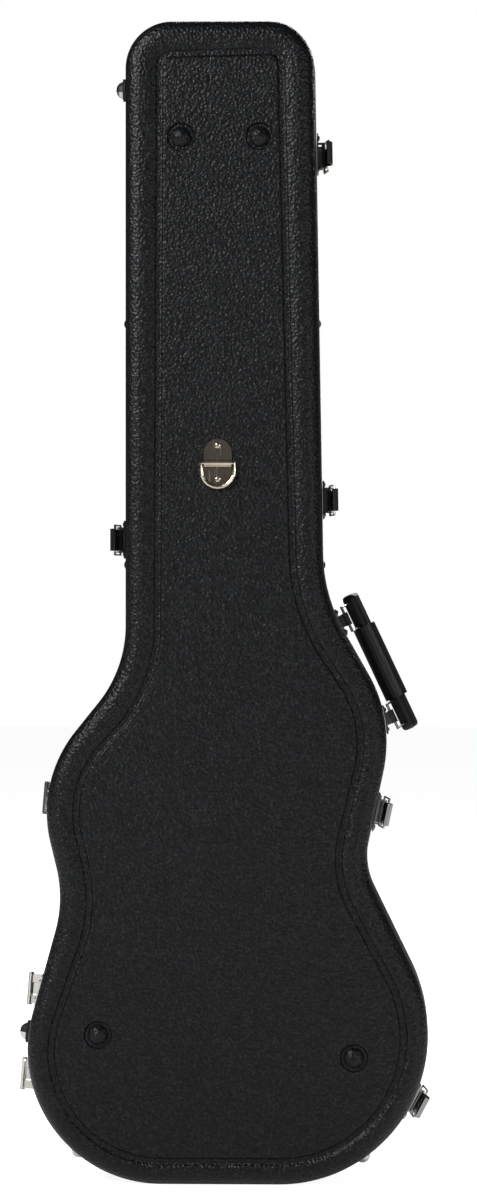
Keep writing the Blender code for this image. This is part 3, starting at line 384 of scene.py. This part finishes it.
# Handle
# A steel-cored grip in grained vinyl with a fatter padded sleeve, sewn along its inner side.
# The stitches are one row of short thread loops repeated by a node group.
LEAN = math.radians(70.5)
ROOT_REACH, SEAM_OFFSET, SEAM_HALF = 0.0360, 0.0108, 0.034
STITCHES, THREAD_RADIUS, STITCH_SHAPE = 19, 0.0005, (0.9, 0.7, 2.6)
vinyl = scratched(Surface("handle_vinyl", (0.012, 0.013, 0.014), 0.0, 0.40), 0.38)
vinyl.relief(vinyl.cells(900), 0.00025, 0.7)
vinyl.relief(vinyl.noise(70, 3), 0.0003, 0.4)
thread = Surface("waxed_thread", (0.030, 0.030, 0.032), 0.0, 0.6)
thread.relief(thread.noise(2500, 2), 0.0001)
swing = next(joint for joint in frame["joints"] if joint["name"] == "handle_swing")
grip_axis = -Vector(swing["axis"])
outward = Vector((grip_axis.z, 0, -grip_axis.x))
reach = outward * math.cos(LEAN) + Vector((0, 1, 0)) * math.sin(LEAN)
side_way = grip_axis.cross(reach)
seam = Vector(swing["pos_m"]) + reach * ROOT_REACH + side_way * SEAM_OFFSET

group = bpy.data.node_groups.new("stitch_row", "GeometryNodeTree")
group.interface.new_socket("Geometry", in_out="OUTPUT", socket_type="NodeSocketGeometry")
stitch_sizes = {"Count": ("Int", STITCHES), "First": ("Vector", seam - grip_axis * SEAM_HALF),
                "Last": ("Vector", seam + grip_axis * SEAM_HALF),
                "Thread Radius": ("Float", THREAD_RADIUS), "Shape": ("Vector", STITCH_SHAPE)}
socket_of = {}
for title, (kind, size) in stitch_sizes.items():
    socket_of[title] = group.interface.new_socket(
        title, in_out="INPUT", socket_type="NodeSocket" + kind).identifier
given = group.nodes.new("NodeGroupInput")
line = group.nodes.new("GeometryNodeMeshLine")
line.mode = "END_POINTS"
stitch = group.nodes.new("GeometryNodeMeshUVSphere")
stitch.inputs["Segments"].default_value = 10
stitch.inputs["Rings"].default_value = 8
put = group.nodes.new("GeometryNodeInstanceOnPoints")
put.inputs["Rotation"].default_value = Matrix((reach, side_way, grip_axis)).transposed().to_euler()
real = group.nodes.new("GeometryNodeRealizeInstances")
paint = group.nodes.new("GeometryNodeSetMaterial")
paint.inputs["Material"].default_value = thread.material
end = group.nodes.new("NodeGroupOutput")
for source, target in [
        (given.outputs["Count"], line.inputs["Count"]),
        (given.outputs["First"], line.inputs["Start Location"]),
        (given.outputs["Last"], line.inputs["Offset"]),
        (given.outputs["Thread Radius"], stitch.inputs["Radius"]),
        (given.outputs["Shape"], put.inputs["Scale"]),
        (line.outputs["Mesh"], put.inputs["Points"]),
        (stitch.outputs["Mesh"], put.inputs["Instance"]),
        (put.outputs["Instances"], real.inputs["Geometry"]),
        (real.outputs["Geometry"], paint.inputs["Geometry"]),
        (paint.outputs["Geometry"], end.inputs["Geometry"])]:
    group.links.new(source, target)
holder = bpy.data.objects.new("stitch_holder", bpy.data.meshes.new("stitch_holder"))
bpy.context.scene.collection.objects.link(holder)
row = holder.modifiers.new("stitches", "NODES")
row.node_group = group
for title, (kind, size) in stitch_sizes.items():
    row[socket_of[title]] = size
bpy.context.view_layer.update()
made = bpy.data.meshes.new_from_object(
    holder.evaluated_get(bpy.context.evaluated_depsgraph_get()))
bpy.data.objects.remove(holder, do_unlink=True)
stitches = bpy.data.objects.new("grip_stitches", made)
bpy.context.scene.collection.objects.link(stitches)
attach(stitches, "handle")

# Carried-over hardware
# Stamped and plated steel: hinges, latches, loops, brackets, glides and the strap plate. The
# CAD forms are kept; each gets the finish of its metal, rubber, vinyl or board.
rubber = Surface("boss_rubber", (0.012, 0.012, 0.013), 0.0, 0.72)
rubber.relief(rubber.noise(700), 0.0001, 0.6)
rubber.roughness(rubber.ramp(rubber.noise(60), 0.3, 0.7, 0.6, 0.85))
board = Surface("flocked_board", (0.016, 0.016, 0.018), 0.0, 0.92)
board.relief(board.noise(1600, 2), 0.0004, 0.8)
board.tint(board.ramp(board.noise(300), 0.4, 0.7, 0, 1), (0.034, 0.034, 0.038))


def plated(name, colour, rough):
    made = scratched(Surface(name, colour, 1.0, rough), rough, 0.25)
    made.relief(made.noise(160, 3), 0.00006, 0.25)
    made.tint(made.ramp(made.noise(55), 0.55, 0.8, 0, 0.6), tuple(c * 0.55 for c in colour))
    return made


nickel = plated("bright_nickel", (0.72, 0.70, 0.66), 0.14)
warm_nickel = plated("warm_nickel", (0.66, 0.58, 0.46), 0.22)
# Painted dark reflection: a darker copy of the plated finish, standing in for the dark
# surroundings that the latches' and brackets' chrome mirrors.
dark_chrome = plated("dark_chrome", (0.36, 0.35, 0.34), 0.12)

for name, node in NODES.items():
    if name == "handle_grip":
        finish = vinyl
    elif "_boss" in name:
        finish = rubber
    elif "_rivet_" in name:
        finish = abs_skin
    elif name.startswith("strap"):
        finish = warm_nickel
    elif name in ("accessory_box", "accessory_lid"):
        finish = board
    # Latch bodies and brackets take the darker plate, a painted dark reflection.
    elif "bracket" in name or (name.startswith("latch") and not name.endswith("_bail")):
        finish = dark_chrome
    else:
        finish = nickel
    node.data.materials.clear()
    node.data.materials.append(finish.material)

# Studio
# A pale floor and a white surround that only the camera sees at full strength, so they light
# the case faintly. Soft key, fill and edge lights, and the camera at the photo's angle.
FLOOR_HALF = 9
FLOOR_GLOW, SURROUND = (0.12, 0.92), (0.04, 1.0)


def seen_level(tree, levels):
    """A strength that is the first level for the light and the second for the camera."""
    ray = tree.nodes.new("ShaderNodeLightPath")
    level = tree.nodes.new("ShaderNodeMapRange")
    level.inputs["To Min"].default_value, level.inputs["To Max"].default_value = levels
    tree.links.new(ray.outputs["Is Camera Ray"], level.inputs["Value"])
    return level.outputs["Result"]


floor_finish = bpy.data.materials.new("studio_floor")
floor_finish.use_nodes = True
floor_tree = floor_finish.node_tree
floor_shader = floor_tree.nodes["Principled BSDF"]
floor_shader.inputs["Base Color"].default_value = (0.9, 0.9, 0.9, 1)
floor_shader.inputs["Roughness"].default_value = 0.9
floor_shader.inputs["Emission Color"].default_value = (1, 1, 1, 1)
floor_tree.links.new(seen_level(floor_tree, FLOOR_GLOW), floor_shader.inputs["Emission Strength"])
floor_mesh = bpy.data.meshes.new("studio_floor")
floor_mesh.from_pydata([(x * FLOOR_HALF, y * FLOOR_HALF, 0)
                        for x, y in ((-1, -1), (1, -1), (1, 1), (-1, 1))], [], [(0, 1, 2, 3)])
floor_mesh.materials.append(floor_finish)
floor = bpy.data.objects.new("studio_floor", floor_mesh)
bpy.context.scene.collection.objects.link(floor)
world = bpy.data.worlds.new("surround")
world.use_nodes = True
backdrop = world.node_tree.nodes["Background"]
backdrop.inputs["Color"].default_value = (1, 1, 1, 1)
world.node_tree.links.new(seen_level(world.node_tree, SURROUND), backdrop.inputs["Strength"])
bpy.context.scene.world = world


def lamp(name, at, aim, size, power):
    light = bpy.data.lights.new(name, "AREA")
    light.shape = "RECTANGLE"
    light.size, light.size_y = size
    light.energy = power
    thing = bpy.data.objects.new(name, light)
    bpy.context.scene.collection.objects.link(thing)
    thing.location = at
    thing.rotation_euler = (Vector(aim) - Vector(at)).to_track_quat("-Z", "Y").to_euler()


lamp("key", (-1.7, -1.9, 2.2), (0, 0, 0.6), (0.45, 0.6), 75)
lamp("fill", (2.0, -1.8, 1.0), (0, 0, 0.5), (0.5, 1.2), 12)
lamp("edge", (0.6, 1.9, 2.0), (0, 0, 0.6), (1.4, 0.8), 40)

DISTANCE, VIEW_HEIGHT, EYE_X, EYE_Z, AIM_X = 2.55, 1.1196, 0.075, 0.5369, 0.0147
SENSOR = 24
camera_data = bpy.data.cameras.new("camera")
camera_data.sensor_fit = "VERTICAL"
camera_data.sensor_height = SENSOR
camera_data.lens = SENSOR / (VIEW_HEIGHT / DISTANCE)
camera = bpy.data.objects.new("camera", camera_data)
bpy.context.scene.collection.objects.link(camera)
camera.location = (EYE_X, -DISTANCE, EYE_Z)
camera.rotation_euler = (Vector((AIM_X, 0, EYE_Z)) - camera.location).to_track_quat(
    "-Z", "Y").to_euler()
bpy.context.scene.camera = camera
render = bpy.context.scene.render
render.resolution_x, render.resolution_y = 477, 1200
bpy.context.scene.view_settings.view_transform = "Standard"
